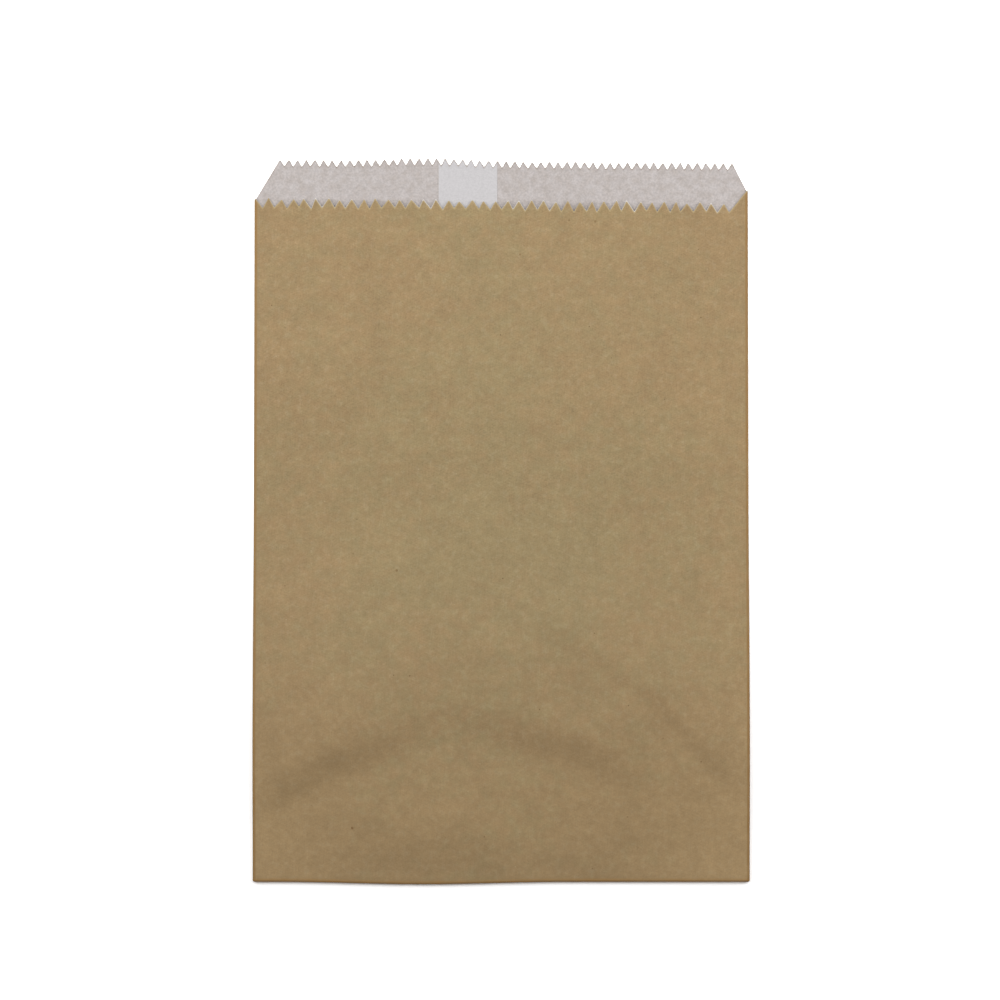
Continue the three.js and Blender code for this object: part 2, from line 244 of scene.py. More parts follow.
LIP_LEFT = -BAG_WIDTH / 2 + LIP_LEFT_INSET
LIP_RIGHT = BAG_WIDTH / 2 - LIP_RIGHT_INSET
LEFT_FOLD_TOP = FRONT_HEIGHT + LEFT_FOLD_RISE
RIGHT_FOLD_TOP = FRONT_HEIGHT + RIGHT_FOLD_RISE
FOOT_REACH = FLAP_HEIGHT - min(LEFT_FOLD_RISE, RIGHT_FOLD_RISE) + TOOTH_MARGIN
FOOT_STACK = PRESSED_HEIGHT + 2 * BEND_GAP

# The panels of the tube, in the order in which the sheet goes round it.
RIGHT_BACK, RIGHT_FOLD, FRONT, LEFT_FOLD, LEFT_BACK = range(5)


def share(value, start, end):
    return np.clip((value - start) / (end - start), 0, 1)


def ease(value):
    t = np.clip(value, 0, 1)
    return t * t * (3 - 2 * t)


def bell(value):
    return ease(1 - np.abs(value))


def height_on(points, x):
    return np.interp(x, [p[0] for p in points], [p[1] for p in points])


def x_on(points, height):
    return np.interp(height, [p[1] for p in points], [p[0] for p in points])


# The knife's cuts.


def stray(tooth, salt):
    wave = math.sin(tooth * 12.9898 + salt * 78.233) * 43758.5453
    return 2 * (wave - math.floor(wave)) - 1


def front_line(x):
    return FRONT_HEIGHT - FRONT_SLANT * (x / BAG_WIDTH + 0.5)


def lip_line(x):
    slant = LIP_SLANT * (x / BAG_WIDTH + 0.5)
    return FRONT_HEIGHT + LIP_HEIGHT - slant + LIP_BOW * bell((x - LIP_BOW_X) / LIP_BOW_HALF_LENGTH)


def teeth(left, right, pitch, depth, wander, line, starts_at_tip, salt):
    halves = 2 * max(1, round((right - left) / pitch))
    points = []
    for i in range(halves + 1):
        x = left + (right - left) * i / halves
        if 0 < i < halves:
            x += wander * stray(i, salt)
        is_tip = (i % 2 == 0) == starts_at_tip
        points.append((x, float(line(x)) + (depth if is_tip else 0) + wander * stray(i, salt + 1)))
    return points


LEFT_END = (-PANEL_HALF_WIDTH, LEFT_FOLD_TOP)
RIGHT_END = (PANEL_HALF_WIDTH, RIGHT_FOLD_TOP)
FRONT_TEETH = teeth(
    FRONT_LEFT, FRONT_RIGHT, FRONT_TOOTH_PITCH, FRONT_TOOTH_DEPTH, FRONT_TOOTH_WANDER,
    line=front_line, starts_at_tip=False, salt=FRONT_SALT)
LIP_TEETH = teeth(
    LIP_LEFT, LIP_RIGHT, LIP_TOOTH_PITCH, LIP_TOOTH_DEPTH, LIP_TOOTH_WANDER,
    line=lip_line, starts_at_tip=True, salt=LIP_SALT)
FRONT_CUT = [LEFT_END, *FRONT_TEETH, RIGHT_END]
LIP_CUT = [LEFT_END, *LIP_TEETH, RIGHT_END]


def ragged_cut(points, x, seed):
    """The height of a cut at x, with its corners rounded and its edge slightly torn."""
    offsets = np.linspace(-TIP_ROUNDING, TIP_ROUNDING, 5)
    rounded = np.mean([height_on(points, x + offset) for offset in offsets], axis=0)
    torn = np.random.default_rng(seed).uniform(-1, 1, len(x))
    return rounded + RAGGEDNESS * torn * share(PANEL_HALF_WIDTH - np.abs(x), 0, 1)


def smooth_front_cut(x, depth):
    return height_on([
        LEFT_END,
        (FRONT_LEFT, front_line(FRONT_LEFT) + depth),
        (FRONT_RIGHT, front_line(FRONT_RIGHT) + depth),
        RIGHT_END,
    ], x)


def smooth_lip_cut(x, depth):
    left = height_on([LEFT_END, (LIP_LEFT, lip_line(LIP_LEFT) + depth), (0, 2 * TUBE_LENGTH)], x)
    right = height_on([(0, 2 * TUBE_LENGTH), (LIP_RIGHT, lip_line(LIP_RIGHT) + depth), RIGHT_END], x)
    return np.minimum(lip_line(x) + depth, np.minimum(left, right))


# The bag as it lies.


def lie(height):
    """How far the folded foot holds the bag's back off the table."""
    return FOOT_STACK * (1 - ease(share(height, FOOT_REACH, FOOT_REACH + DRAPE_LENGTH)))


def hump(height):
    """The arch of the whole bag off the table."""
    return HUMP_LIFT * ease(share(height, 0, HUMP_HEIGHT)) * (1 - ease(share(height, HUMP_HEIGHT, HUMP_END)))


def blunt(points, x, value):
    """A value of the points along x, with their corners blunted."""
    xs = [point[0] for point in points]
    values = [point[value] for point in points]
    offsets = np.linspace(-DENT_BLUNTING, DENT_BLUNTING, 7)
    return np.mean([np.interp(x + offset, xs, values) for offset in offsets], axis=0)


def crease_step(across, drop, half_width):
    """The lift beside a crease: it grows over the crease's width and fades out behind it."""
    rise = ease(share(across, -half_width, half_width))
    return drop * rise * (1 - ease(share(across, half_width, CREASE_FADE * half_width)))


def crease_steps(x, height):
    """How far the fine creases lift the panel beside them."""
    total = np.zeros_like(x)
    for points, drop, half_width in CREASES:
        (left, left_height), (right, right_height) = points[0], points[-1]
        slope = (right_height - left_height) / (right - left)
        across = (height - height_on(points, x)) / math.hypot(1, slope)
        ends = ease(share(x, left - CREASE_END, left + CREASE_END))
        ends *= 1 - ease(share(x, right - CREASE_END, right + CREASE_END))
        total += ends * crease_step(across, drop, half_width)
    for points, drop, half_width in STREAKS:
        bottom, top = points[0][1], points[-1][1]
        ends = ease(share(height, bottom, bottom + STREAK_END))
        ends *= 1 - ease(share(height, top - STREAK_END, top))
        total += ends * crease_step(x - x_on(points, height), drop, half_width)
    return total


def cockle(x, height):
    """The unevenness of paper that has taken up some damp: crossing waves, each bent by a slower one."""
    total = np.zeros_like(x)
    for length, lift, phase, lean in COCKLES:
        turn = 2 * math.pi / length
        bend = 1.3 * np.sin(turn * 0.41 * height + lean)
        total += lift * np.sin(turn * (x + 0.5 * lean * height) + phase + bend)
        bend = np.sin(turn * 0.37 * x)
        total += lift * np.sin(turn * (0.8 * height - 0.3 * lean * x) + 2 * phase + bend)
    return total


def puff(x, height):
    """How far the front panel stands off the back one, over their pressed height."""
    from_fold = PANEL_HALF_WIDTH - np.abs(x)
    near_fold = ease(from_fold / PILLOW_EDGE)
    fade = ease(share(height, FRONT_HEIGHT - MOUTH_FADE_LENGTH, FRONT_HEIGHT))
    lift = PILLOW_LIFT + (MOUTH_LIFT - PILLOW_LIFT) * fade
    pillow = lift * near_fold * ease(height / FOOT_FADE_LENGTH)

    above = height - blunt(DENT_CREASE, x, 1)
    step = ease(share(above, -DENT_HALF_WIDTH, DENT_HALF_WIDTH))
    step *= 1 - ease(share(above, DENT_HALF_WIDTH, DENT_FADE_LENGTH))
    dent = blunt(DENT_CREASE, x, 2) * step * ease(from_fold / DENT_HALF_WIDTH)

    swell = ease(height / FOOT_BULGE_HEIGHT)
    swell *= 1 - ease(share(height, FOOT_BULGE_HEIGHT, 3 * FOOT_BULGE_HEIGHT))
    foot = FOOT_BULGE * swell * bell((x - FOOT_BULGE_X) / FOOT_BULGE_HALF_WIDTH)

    from_mouth = FRONT_HEIGHT + FINE_MOUTH_OVERRUN - height
    calm = ease(from_fold / FINE_SIDE_FADE)
    calm *= ease(height / FINE_FOOT_FADE) * ease(from_mouth / FINE_MOUTH_FADE)
    fine = calm * (crease_steps(x, height) + cockle(x, height))
    total = np.maximum(pillow + dent + foot + fine, 0)
    return np.where((height > 0) & (from_fold > 0), total, 0)


def place(x, rise, height):
    """Puts points of the flattened tube in their place, rise above its own back face and height up it."""
    bow = -FOLD_BOW * bell((x - FOLD_BOW_X) / FOLD_BOW_HALF_WIDTH)
    turn = math.pi * share(-height, 0, BEND_LENGTH)
    radius = rise + BEND_GAP
    under = np.maximum(0, -height - BEND_LENGTH)
    is_up = height >= 0
    y = np.where(
        is_up,
        height + bow * (1 - share(height, 0, FOLD_BOW_FADE)),
        under - radius * np.sin(turn) + bow * (1 - share(under, 0, FOLD_BOW_FADE)),
    )
    z = np.where(
        is_up,
        lie(height) + hump(height) + rise,
        PRESSED_HEIGHT + BEND_GAP + radius * np.cos(turn) + hump(under),
    )
    return np.stack([x, y, z], axis=-1)


# The plies.


def ramp_up(x):
    return share(x, SEAM_LEFT - LAP_RAMP, SEAM_LEFT)


def ramp_down(x):
    return 1 - share(x, SEAM_RIGHT, SEAM_RIGHT + LAP_RAMP)


KRAFT = {
    "name": "kraft_sheet",
    "node": "kraft_bag",
    "slot": "kraft_paper",
    "depth": 0,
    "thickness": KRAFT_THICKNESS,
    "slip": 0,
    "lap": lambda x, is_left: np.where(is_left, KRAFT_STEP * ramp_up(x), 0),
}
LINER = {
    "name": "greaseproof_sheet",
    "node": "greaseproof_liner",
    "slot": "greaseproof_paper",
    "depth": LINER_DEPTH,
    "thickness": LINER_THICKNESS,
    "slip": LINER_SLIP,
    "lap": lambda x, is_left: (
        KRAFT_STEP * ramp_up(x) * ramp_down(x) + np.where(is_left, LINER_STEP * ramp_up(x), 0)),
}


def points_of(ply, walk, depth, height):
    """The points of one row of a ply, at depth under the tube's outer skin."""
    x, panel, turn = walk["x"], walk["panel"], walk["turn"]
    radius = FOLD_RADIUS - depth
    is_fold = (panel == RIGHT_FOLD) | (panel == LEFT_FOLD)
    across = np.where(is_fold, np.sign(x) * (PANEL_HALF_WIDTH + radius * np.cos(turn)), x)
    back_rise = depth + ply["lap"](x, panel == LEFT_BACK)
    rise = np.select(
        [panel == FRONT, is_fold],
        [PRESSED_HEIGHT + puff(x, height) - depth, FOLD_RADIUS + radius * np.sin(turn)],
        back_rise,
    )
    return place(across, rise, height)


def divide(marks, step):
    """The marks, and between them as many more numbers as keep each step under its limit."""
    ordered = sorted(set(marks))
    found = [ordered[0]]
    for mark in ordered[1:]:
        start = found[-1]
        parts = max(1, math.ceil((mark - start) / step))
        found += [start + (mark - start) * i / parts for i in range(1, parts)] + [mark]
    return np.array(found)


SEAM_MARKS = [SEAM_LEFT - LAP_RAMP, SEAM_LEFT, SEAM_RIGHT, SEAM_RIGHT + LAP_RAMP]
BACK_MARKS = [-PANEL_HALF_WIDTH, LIP_LEFT, *SEAM_MARKS, LIP_RIGHT, PANEL_HALF_WIDTH]
FRONT_MARKS = [-PANEL_HALF_WIDTH, FRONT_LEFT, FRONT_RIGHT, PANEL_HALF_WIDTH]


def walk_round(front_xs, back_xs):
    """Stops once round the tube, from the end of the right back panel to the end of the left one."""
    arc = math.pi * FOLD_RADIUS
    right_back = back_xs[back_xs >= SEAM_LEFT]
    left_back = back_xs[back_xs <= SEAM_RIGHT]
    steps = np.arange(1, FOLD_STEPS) / FOLD_STEPS
    first_fold = PANEL_HALF_WIDTH - SEAM_LEFT
    front_start = first_fold + arc
    second_fold = front_start + 2 * PANEL_HALF_WIDTH
    left_start = second_fold + arc
    parts = [
        (RIGHT_BACK, right_back, 0 * right_back, right_back - SEAM_LEFT),
        (RIGHT_FOLD, PANEL_HALF_WIDTH + 0 * steps, math.pi * (steps - 0.5), first_fold + arc * steps),
        (FRONT, front_xs[::-1], 0 * front_xs, front_start + PANEL_HALF_WIDTH - front_xs[::-1]),
        (LEFT_FOLD, -PANEL_HALF_WIDTH + 0 * steps, math.pi * (0.5 - steps), second_fold + arc * steps),
        (LEFT_BACK, left_back, 0 * left_back, left_start + PANEL_HALF_WIDTH + left_back),
    ]
    walk = {
        "panel": np.concatenate([np.full(len(part[1]), part[0]) for part in parts]),
        "x": np.concatenate([part[1] for part in parts]),
        "turn": np.concatenate([part[2] for part in parts]),
        "girth": np.concatenate([part[3] for part in parts]),
    }
    middles = [first_fold + arc / 2, second_fold + arc / 2]
    walk["fold"] = np.min([np.abs(walk["girth"] - middle) for middle in middles], axis=0)
    return walk


GRID_WALK = walk_round(divide(FRONT_MARKS, COLUMN_STEP), divide(BACK_MARKS, COLUMN_STEP))
CUT_WALK = walk_round(
    divide([*FRONT_MARKS, *[p[0] for p in FRONT_TEETH]], CUT_STEP),
    divide([*BACK_MARKS, *[p[0] for p in LIP_TEETH]], CUT_STEP),
)


def fold_top(walk):
    return np.where(walk["x"] < 0, LEFT_FOLD_TOP, RIGHT_FOLD_TOP)


def is_back(walk):
    return (walk["panel"] == RIGHT_BACK) | (walk["panel"] == LEFT_BACK)


def cut_at(walk, slip):
    """The knife's cut at each stop. A ply that has slipped stands above it in front and below it behind."""
    x = walk["x"]
    peek = PEEK_MEAN + sum(swing * np.sin(x / length) for swing, length in PEEK_WAVES)
    peek *= share(x, -PANEL_HALF_WIDTH, FRONT_LEFT) * share(FRONT_RIGHT - x, 0, SLIP_FADE)
    tuck = LIP_SLIP_SHARE * ease(share(PANEL_HALF_WIDTH - np.abs(x), 0, SLIP_FADE))
    return np.select(
        [walk["panel"] == FRONT, is_back(walk)],
        [
            ragged_cut(FRONT_CUT, x, FRONT_TEAR_SEED) + slip * peek,
            ragged_cut(LIP_CUT, x, LIP_TEAR_SEED) - slip * tuck,
        ],
        fold_top(walk),
    )


def smooth_cut_at(walk, at_tips):
    """The line along the tips of the cut's teeth, or the one along their notches."""
    x = walk["x"]
    return np.select(
        [walk["panel"] == FRONT, is_back(walk)],
        [smooth_front_cut(x, FRONT_TOOTH_DEPTH * at_tips), smooth_lip_cut(x, LIP_TOOTH_DEPTH * at_tips)],
        fold_top(walk),
    )


def rows_of(ply):
    """The rows of the sheet, from the tube's foot to its mouth: each a walk and a height at each stop."""
    count = len(GRID_WALK["x"])
    neck = min(LEFT_FOLD_TOP, RIGHT_FOLD_TOP, front_line(FRONT_RIGHT)) - NECK_MARGIN
    bends = -BEND_LENGTH * (1 - np.arange(FOLD_STEPS) / FOLD_STEPS)
    levels = divide([0, FOOT_REACH, HUMP_END, neck], ROW_STEP)
    quarters = np.arange(4) / 4
    foot = smooth_cut_at(GRID_WALK, True) - TUBE_LENGTH
    rows = []
    if ply is KRAFT:
        shows = CUT_WALK["panel"] == FRONT
        toothed = np.where(shows, cut_at(CUT_WALK, 0), smooth_cut_at(CUT_WALK, True))
        rows.append((CUT_WALK, toothed - TUBE_LENGTH))
        rows.append((CUT_WALK, smooth_cut_at(CUT_WALK, True) - TUBE_LENGTH + TOOTH_MARGIN))
    else:
        rows.append((GRID_WALK, foot + ply["slip"]))
    for part in quarters:
        rows.append((GRID_WALK, (1 - part) * (foot + 2 * TOOTH_MARGIN) + part * bends[0]))
    rows += [(GRID_WALK, np.full(count, height)) for height in [*bends, *levels]]
    top = smooth_cut_at(GRID_WALK, False) - 2 * TOOTH_MARGIN
    for part in 1 - quarters[::-1]:
        rows.append((GRID_WALK, (1 - part) * levels[-1] + part * top))
    rows.append((CUT_WALK, smooth_cut_at(CUT_WALK, False) - TOOTH_MARGIN))
    rows.append((CUT_WALK, cut_at(CUT_WALK, ply["slip"])))
    return rows


def tint_and_crease_shade_of(walk, height):
    """How warm a tint the paper is given: most near the folds and at both ends, plus painted shade where the
    front panel slopes away from the back light.
    """
    x = walk["x"]
    slope = (puff(x, height + 1) - puff(x, height - 1)) / 2
    # Painted shade: a warmer colour where the front panel's slope faces away from the back light.
    crease_shade = CREASE_PAINTED_SHADE * share(slope, *CREASE_SLOPES) * (walk["panel"] == FRONT)
    sides = SIDE_WARMTH * ease(np.abs(x) / PANEL_HALF_WIDTH)
    top = TOP_WARMTH * ease(2 * height / FRONT_HEIGHT - 1)
    bottom = BOTTOM_WARMTH * (1 - ease(2 * height / FRONT_HEIGHT))
    return WARMTH + sides + top + bottom + crease_shade


def painted_shading_of(walk, height):
    """How much painted light and shade make the front panel paler or darker than the rest."""
    x = walk["x"]
    total = np.ones_like(x)
    for middle_x, middle, half_width, half_height, change in SHADING_FIELDS:
        total += change * bell((x - middle_x) / half_width) * bell((height - middle) / half_height)
    return np.where(walk["panel"] == FRONT, total, 1)


def lap_of(walk):
    """How far inside the outline of the seam's upper lap a stop lies, and far below 0 on the other panels."""
    inside = np.minimum(walk["x"] - SEAM_LEFT, SEAM_RIGHT - walk["x"])
    return np.where(walk["panel"] == LEFT_BACK, inside, -BAG_WIDTH)


def zip_rows(lower, upper, lower_girth, upper_girth):
    """Joins two rows of points with triangles. The row that lags along the girth always goes next."""
    faces = []
    i = j = 0
    while i < len(lower) - 1 or j < len(upper) - 1:
        next_lower = lower_girth[i + 1] if i < len(lower) - 1 else math.inf
        next_upper = upper_girth[j + 1] if j < len(upper) - 1 else math.inf
        if next_lower <= next_upper:
            faces.append((lower[i], upper[j], lower[i + 1]))
            i += 1
        else:
            faces.append((lower[i], upper[j], upper[j + 1]))
            j += 1
    return faces


def folded_sheet(ply):
    """One folded sheet as a closed mesh: its outer face, its inner face and the cut edge between them.

    With it come the place of each point of a face on the unfolded sheet, and the marks that colour the paper,
    painted light and shade among them.
    """
    rows = rows_of(ply)
    starts = np.concatenate([[0], np.cumsum([len(walk["x"]) for walk, _ in rows])])
    ids = [np.arange(starts[i], starts[i + 1]) for i in range(len(rows))]
    faces = []
    for i in range(len(rows) - 1):
        low, high = rows[i][0], rows[i + 1][0]
        if low is high:
            a, b = ids[i], ids[i + 1]
            faces += list(zip(a[:-1], b[:-1], b[1:], a[1:]))
        else:
            faces += zip_rows(ids[i], ids[i + 1], low["girth"], high["girth"])
    inner = int(starts[-1])
    rim = np.concatenate([
        ids[0][::-1],
        [row[0] for row in ids[1:-1]],
        ids[-1],
        [row[-1] for row in ids[-2:0:-1]],
    ])
    walls = [(a, inner + a, inner + b, b) for a, b in zip(rim, np.roll(rim, -1))]
    # Both faces start at the same corner, so that they are cut along the same diagonals and never cross.
    faces += [tuple(inner + v for v in (face[0], *face[:0:-1])) for face in faces] + walls

    depths = (ply["depth"], ply["depth"] + ply["thickness"])
    points = np.concatenate([
        points_of(ply, walk, depth, height) for depth in depths for walk, height in rows])
    web = np.concatenate([np.stack([walk["girth"], height], axis=-1) for walk, height in rows])
    marks = {
        "mouth": [cut_at(walk, 0) - height for walk, height in rows],
        "fold": [walk["fold"] for walk, _ in rows],
        "foot": [np.abs(height + BEND_LENGTH / 2) for _, height in rows],
        "tint_and_crease_shade": [tint_and_crease_shade_of(walk, height) for walk, height in rows],
        "tone": [painted_shading_of(walk, height) for walk, height in rows],
        "lap": [lap_of(walk) for walk, _ in rows],
        "front": [(walk["panel"] == FRONT).astype(float) for walk, _ in rows],
    }
    return points, faces, web, {name: np.concatenate(parts) for name, parts in marks.items()}


def make_piece(ply, offset, material):
    points, faces, web, marks = folded_sheet(ply)
    mesh = bpy.data.meshes.new(ply["name"])
    mesh.from_pydata(((points + offset) * MM).tolist(), [], [[int(v) for v in face] for face in faces])
    for name, values in marks.items():
        attribute = mesh.attributes.new(name, "FLOAT", "POINT")
        attribute.data.foreach_set("value", np.tile(values, 2).astype(np.float32))
    attribute = mesh.attributes.new("web", "FLOAT_VECTOR", "POINT")
    flat = np.column_stack([np.tile(web, (2, 1)), np.repeat([0.0, INNER_FACE_SHIFT], len(web))])
    attribute.data.foreach_set("vector", flat.astype(np.float32).ravel())
    mesh.shade_smooth()
    mesh.set_sharp_from_angle(angle=math.radians(SHARP_ANGLE))
    mesh.materials.append(material)
    piece = bpy.data.objects.new(ply["name"], mesh)
    bpy.context.scene.collection.objects.link(piece)
    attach(piece, "root")
    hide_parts(ply["node"])
    girth, length = web[:, 0].max(), np.ptp(web[:, 1])


# Materials.


def srgb(red, green, blue):
    """A colour given as 0 to 255 screen values, as linear light with full alpha."""
    def linear(value):
        v = value / 255
        return v / 12.92 if v <= 0.04045 else ((v + 0.055) / 1.055) ** 2.4
    return (linear(red), linear(green), linear(blue), 1)


# The sockets of a Mix node that mixes colours.
MIX_FACTOR, MIX_FIRST, MIX_SECOND, MIX_RESULT = 0, 6, 7, 2


class Shader:
    """A material and short ways to add nodes to it."""

    def __init__(self, name):
        self.material = bpy.data.materials.new(name)
        self.material.use_nodes = True
        self.tree = self.material.node_tree
        self.tree.nodes.clear()

    def add(self, kind, inputs, **settings):
        made = self.tree.nodes.new(kind)
        for key, value in settings.items():
            setattr(made, key, value)
        for key, value in inputs.items():
            if isinstance(value, bpy.types.NodeSocket):
                self.tree.links.new(value, made.inputs[key])
            else:
                made.inputs[key].default_value = value
        return made

    def math(self, operation, *values):
        return self.add("ShaderNodeMath", dict(enumerate(values)), operation=operation).outputs[0]

    def ramp(self, value, low, high, start=0.0, end=1.0):
        inputs = {"Value": value, "From Min": low, "From Max": high, "To Min": start, "To Max": end}
        return self.add("ShaderNodeMapRange", inputs, interpolation_type="SMOOTHSTEP").outputs[0]

    def mark(self, name):
        return self.add("ShaderNodeAttribute", {}, attribute_name=name).outputs["Fac"]

    def web(self, stretch=(1, 1, 1), turn=0.0, shift=0.0):
        """Place on the unfolded sheet, in millimetres, stretched and turned."""
        place = self.add("ShaderNodeAttribute", {}, attribute_name="web").outputs["Vector"]
        inputs = {"Vector": place, "Location": (shift, shift, 0), "Rotation": (0, 0, turn)}
        turned = self.add("ShaderNodeMapping", inputs).outputs[0]
        inputs = {0: turned, 1: stretch}
        return self.add("ShaderNodeVectorMath", inputs, operation="MULTIPLY").outputs[0]

    def noise(self, size, detail=2.0, roughness=0.5, stretch=(1, 1, 1), turn=0.0, shift=0.0):
        vector = self.web(stretch, turn, shift)
        inputs = {"Vector": vector, "Scale": 1 / size, "Detail": detail, "Roughness": roughness}
        return self.add("ShaderNodeTexNoise", inputs).outputs["Fac"]

    def specks(self, spacing, radius, share_kept, shift):
        """1 in scattered round specks, 0 elsewhere."""
        inputs = {"Vector": self.web(shift=shift), "Scale": 1 / spacing, "Randomness": 1}
        cells = self.add("ShaderNodeTexVoronoi", inputs, feature="F1")
        near = self.ramp(cells.outputs["Distance"], radius * 0.5 / spacing, radius * 1.2 / spacing, 1.0, 0.0)
        channel = self.add("ShaderNodeSeparateColor", {"Color": cells.outputs["Color"]}).outputs[0]
        kept = self.math("LESS_THAN", channel, share_kept)
        return self.math("MULTIPLY", near, kept)

    def blend(self, factor, first, second, mode="MIX"):
        inputs = {MIX_FACTOR: factor, MIX_FIRST: first, MIX_SECOND: second}
        return self.add("ShaderNodeMix", inputs, data_type="RGBA", blend_type=mode).outputs[MIX_RESULT]

    def brighten(self, color, amount):
        """Multiplies a colour by a number socket."""
        grey = self.add("ShaderNodeCombineColor", {0: amount, 1: amount, 2: amount}).outputs[0]
        return self.blend(1.0, color, grey, "MULTIPLY")

    def paper(self, color, roughness, relief, relief_height, specular):
        """Ends the material as matt paper with a fine relief, whose height is in millimetres."""
        bump = self.add("ShaderNodeBump", {"Height": relief, "Strength": 1.0, "Distance": relief_height * MM})
        shader = self.add("ShaderNodeBsdfPrincipled", {
            "Base Color": color,
            "Roughness": roughness,
            "Specular IOR Level": specular,
            "Normal": bump.outputs[0],
        })
        self.add("ShaderNodeOutputMaterial", {"Surface": shader.outputs[0]})
        return self.material


def kraft_ground(s):
    """The colour of the pulp, khaki and tan in clouds of several sizes, warmer towards the folds and both
    ends, with the painted shade of the creases and the front panel's fields of painted light and shade.
    """
    khaki = srgb(156.3, 138, 100)
    tan = srgb(161.4, 135.6, 97.8)
    dark = srgb(140, 112, 72)
    pale = srgb(176, 160, 128)
    patches = s.ramp(s.noise(30, 3, 0.55), 0.3, 0.7, -0.25, 0.25)
    patches = s.math("ADD", patches, s.ramp(s.noise(4.5, 3, 0.6, shift=500), 0.3, 0.7, -0.35, 0.35))
    # A tint that is warmer towards the folds and ends, with painted shade on slopes that face away from the
    # back light.
    color = s.blend(s.math("ADD", s.mark("tint_and_crease_shade"), patches), khaki, tan)
    # The front panel's fields of painted light and shade.
    color = s.brighten(color, s.mark("tone"))
    color = s.brighten(color, s.ramp(s.noise(5.5, 3, 0.6, shift=40), 0.3, 0.7, 0.95, 1.05))
    mottle = s.noise(2.2, 3, 0.6, shift=610)
    color = s.blend(s.ramp(mottle, 0.35, 0.65, 0.16, 0.0), color, dark)
    color = s.blend(s.ramp(mottle, 0.5, 0.75, 0.0, 0.2), color, pale)
    return s.brighten(color, s.ramp(s.noise(16, 2, 0.5, shift=310), 0.25, 0.75, 0.975, 1.025))


def kraft_fibres(s, color):
    """Adds the grain and the fibres, which show more towards the mouth. Gives their relief too."""
    grain = s.noise(0.55, 2, 0.6, shift=90)
    fine = s.ramp(grain, 0.15, 0.85, -0.12, 0.12)
    relief = grain
    for turn, shift in ((0.5, 15), (-0.4, 60), (1.5, 120)):
        fibre = s.noise(0.5, 1, 0.5, stretch=(0.16, 1, 1), turn=turn, shift=shift)
        fine = s.math("ADD", fine, s.ramp(fibre, 0.25, 0.75, -0.04, 0.04))
        relief = s.math("ADD", relief, s.math("MULTIPLY", fibre, 0.5))
    height = s.add("ShaderNodeSeparateXYZ", {0: s.web()}).outputs["Y"]
    fine = s.math("MULTIPLY", fine, s.ramp(height, 20.0, 160.0, 0.6, 1.0))
    return s.brighten(color, s.math("ADD", 1.0, fine)), relief


def kraft_specks(s, color):
    """Adds scattered dark and pale specks, and the single ones."""
    scattered = [
        (s.specks(6, 0.28, 0.35, 7), 0.55, srgb(92, 66, 40)),
        (s.specks(3, 0.2, 0.3, 33), 0.35, srgb(122, 92, 58)),
        (s.specks(4, 0.25, 0.25, 71), 0.35, srgb(196, 176, 140)),
    ]
    for specks, depth, speck_color in scattered:
        color = s.blend(s.math("MULTIPLY", specks, depth), color, speck_color)
    front_middle = PANEL_HALF_WIDTH - SEAM_LEFT + math.pi * FOLD_RADIUS + PANEL_HALF_WIDTH
    for x, height, radius, depth in SPECKS:
        inputs = {0: s.web(), 1: (front_middle - x, height, 0)}
        away = s.add("ShaderNodeVectorMath", inputs, operation="DISTANCE").outputs["Value"]
        color = s.blend(s.ramp(away, 0.4 * radius, 1.3 * radius, depth, 0.0), color, srgb(110, 74, 36))
    return color


def kraft_edges(s, color):
    """Browns the side folds and the foot's fold, the foot's in a brown lifted as painted light on the fold's
    shaded front. Makes the cut edge paler in front, partly as a painted highlight where light catches the
    teeth's cut edges, and darker behind.
    """
    wobble = s.ramp(s.noise(6, 2, 0.5, shift=200), 0.2, 0.8, 0.7, 1.3)
    side = s.ramp(s.mark("fold"), 0.1, 0.5, 0.25, 0.85)
    side = s.math("MULTIPLY", side, s.ramp(s.mark("fold"), 1.0, 1.45, 1.0, 0.0))
    color = s.blend(s.math("MULTIPLY", side, wobble), color, srgb(152, 118, 72))
    # The foot's fold: a fold brown painted paler, as painted light on its shaded curve.
    foot = s.ramp(s.mark("foot"), 0.3, 1.4, 0.75, 0.0)
    color = s.blend(s.math("MULTIPLY", foot, wobble), color, srgb(174, 132, 78))
    # The front teeth's cut edges are painted paler: partly the cut edge's own paler fibre, partly a painted
    # highlight where light catches them.
    rim = s.ramp(s.mark("mouth"), 0.15, 0.85, 0.6, 0.0)
    return s.blend(rim, color, s.blend(s.mark("front"), srgb(140, 122, 100), srgb(192, 174, 134)))


def kraft_material():
    s = Shader("kraft paper")
    color, relief = kraft_fibres(s, kraft_ground(s))
    color = kraft_edges(s, kraft_specks(s, color))
    return s.paper(color, 0.72, relief, 0.012, 0.3)


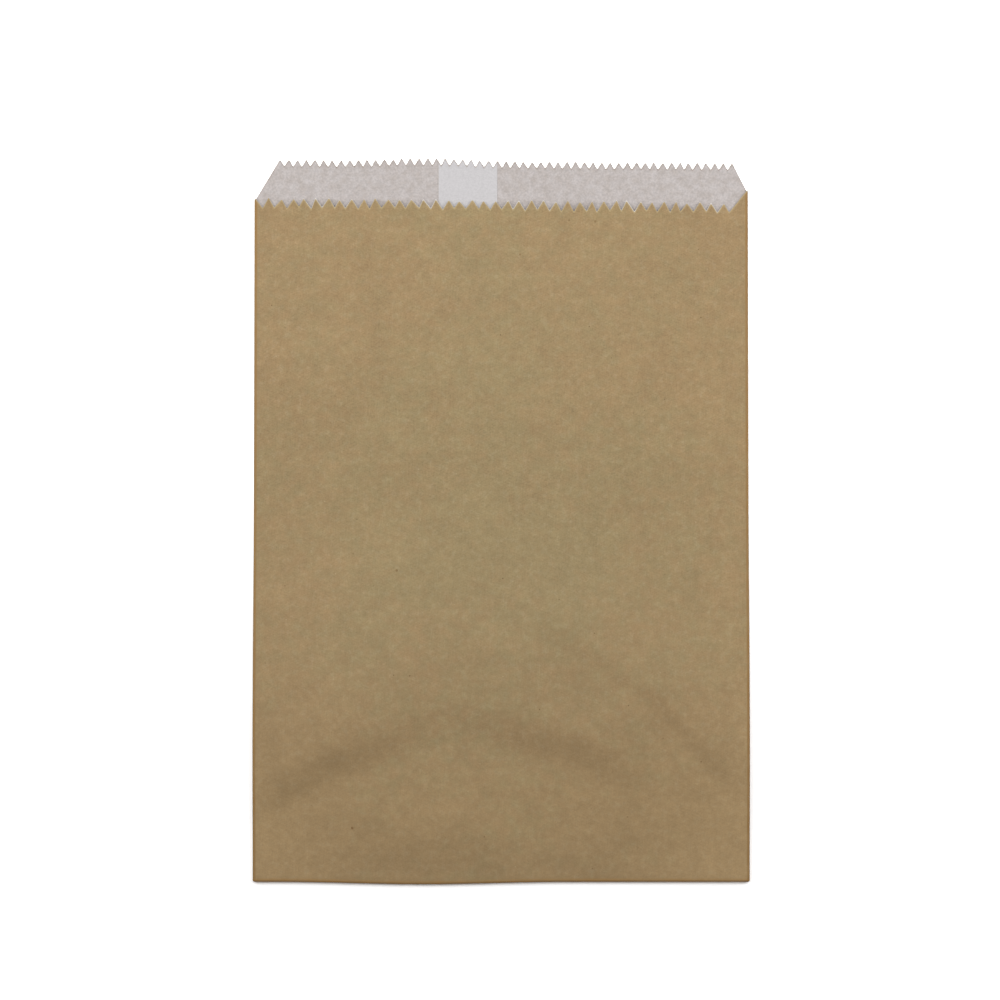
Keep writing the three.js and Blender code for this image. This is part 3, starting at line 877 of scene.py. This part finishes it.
def liner_material():
    s = Shader("greaseproof paper")
    single = srgb(190, 183, 181)
    cloudy = srgb(177, 168, 163)
    double = srgb(197, 194, 195)
    lap = s.ramp(s.mark("lap"), -0.15, 0.15)
    cloud = s.ramp(s.noise(2.6, 3, 0.6, shift=10), 0.25, 0.75)
    color = s.blend(lap, s.blend(cloud, single, cloudy), double)
    # A thin dark line painted just outside the edge of the seam's upper lap: the painted shadow of that edge.
    outline = s.ramp(s.math("ABSOLUTE", s.math("ADD", s.mark("lap"), 0.25)), 0.0, 0.35, 0.25, 0.0)
    color = s.blend(outline, color, srgb(150, 140, 134))

    grain = s.noise(0.6, 2, 0.6, shift=50)
    calm = s.math("SUBTRACT", 1.0, s.math("MULTIPLY", lap, 0.45))
    grain_tone = s.math("MULTIPLY", s.ramp(grain, 0.15, 0.85, -0.15, 0.15), calm)
    color = s.brighten(color, s.math("ADD", 1.0, grain_tone))

    edge = s.ramp(s.mark("mouth"), 0.1, 1.1, 0.5, 0.0)
    edge = s.math("MULTIPLY", edge, s.ramp(s.noise(3, 2, 0.5), 0.3, 0.7, 0.6, 1.2))
    color = s.blend(edge, color, srgb(150, 136, 128))
    # The liner's edge that peeks past the front teeth: the white liner itself, painted paler than its own
    # colour as a highlight where light catches it.
    rim = s.math("MULTIPLY", s.mark("front"), s.ramp(s.mark("mouth"), 0.0, 0.4, 1.0, 0.0))
    color = s.blend(rim, color, srgb(222, 218, 214))
    relief = s.math("ADD", grain, s.noise(0.4, 1, 0.5, stretch=(0.3, 1, 1), turn=0.7))
    return s.paper(color, 0.5, relief, 0.006, 0.4)


def floor_material():
    """A matt table that keeps the bag's shadow, and that the camera sees as pure white beside it."""
    s = Shader("white table")
    ray = s.add("ShaderNodeLightPath", {}).outputs["Is Camera Ray"]
    tone = s.ramp(ray, 0.0, 1.0, 0.8, 1.75)
    grain = s.add("ShaderNodeTexNoise", {"Scale": 300.0}).outputs["Fac"]
    tone = s.math("MULTIPLY", tone, s.ramp(grain, 0.0, 1.0, 0.998, 1.002))
    color = s.add("ShaderNodeCombineColor", {0: tone, 1: tone, 2: tone}).outputs[0]
    shader = s.add("ShaderNodeBsdfDiffuse", {"Color": color})
    s.add("ShaderNodeOutputMaterial", {"Surface": shader.outputs[0]})
    return s.material


# The table and the light.


def make_floor():
    half = FLOOR_SIZE / 2
    corners = [(-half, -half, 0), (half, -half, 0), (half, half, 0), (-half, half, 0)]
    mesh = bpy.data.meshes.new("table")
    mesh.from_pydata(corners, [], [(0, 1, 2, 3)])
    mesh.materials.append(floor_material())
    table = bpy.data.objects.new("table", mesh)
    table.location.z = -FLOOR_DROP
    bpy.context.scene.collection.objects.link(table)


def area_light(name, place, size, power):
    """A rectangular lamp that faces the middle of the bag."""
    data = bpy.data.lights.new(name, "AREA")
    data.shape = "RECTANGLE"
    data.size, data.size_y = size
    data.energy = power
    light = bpy.data.objects.new(name, data)
    light.location = place
    light.rotation_mode = "QUATERNION"
    light.rotation_quaternion = (-Vector(place)).to_track_quat("-Z", "Y")
    bpy.context.scene.collection.objects.link(light)


def light_world():
    world = bpy.data.worlds.new("studio")
    bpy.context.scene.world = world
    world.use_nodes = True
    background = world.node_tree.nodes["Background"]
    background.inputs["Color"].default_value = (1, 1, 1, 1)
    background.inputs["Strength"].default_value = WORLD_STRENGTH


def make_camera():
    data = bpy.data.cameras.new("camera")
    data.sensor_width = 36
    data.lens = data.sensor_width * CAMERA_DISTANCE / VIEW_WIDTH
    camera = bpy.data.objects.new("camera", data)
    lean = math.radians(CAMERA_LEAN)
    camera.location = Vector(AIM) + CAMERA_DISTANCE * Vector((0, -math.sin(lean), math.cos(lean)))
    camera.rotation_euler = (lean, 0, 0)
    bpy.context.scene.collection.objects.link(camera)
    bpy.context.scene.camera = camera


# The scene. The sheets stand on the same lowest point, and round the same middle, as the frame's kraft bag.
kraft_points = folded_sheet(KRAFT)[0]
low, high = kraft_points.min(0), kraft_points.max(0)
cad_low, cad_high = (np.array(corner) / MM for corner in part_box("kraft_bag"))
offset = (cad_low + cad_high - low - high) / 2
offset[2] = cad_low[2] - low[2]
make_piece(KRAFT, offset, kraft_material())
make_piece(LINER, offset, liner_material())

make_floor()
for name, place, size, power in SOFTBOXES:
    area_light(name, place, size, power)
light_world()
make_camera()
bpy.context.scene.view_settings.view_transform = "Standard"
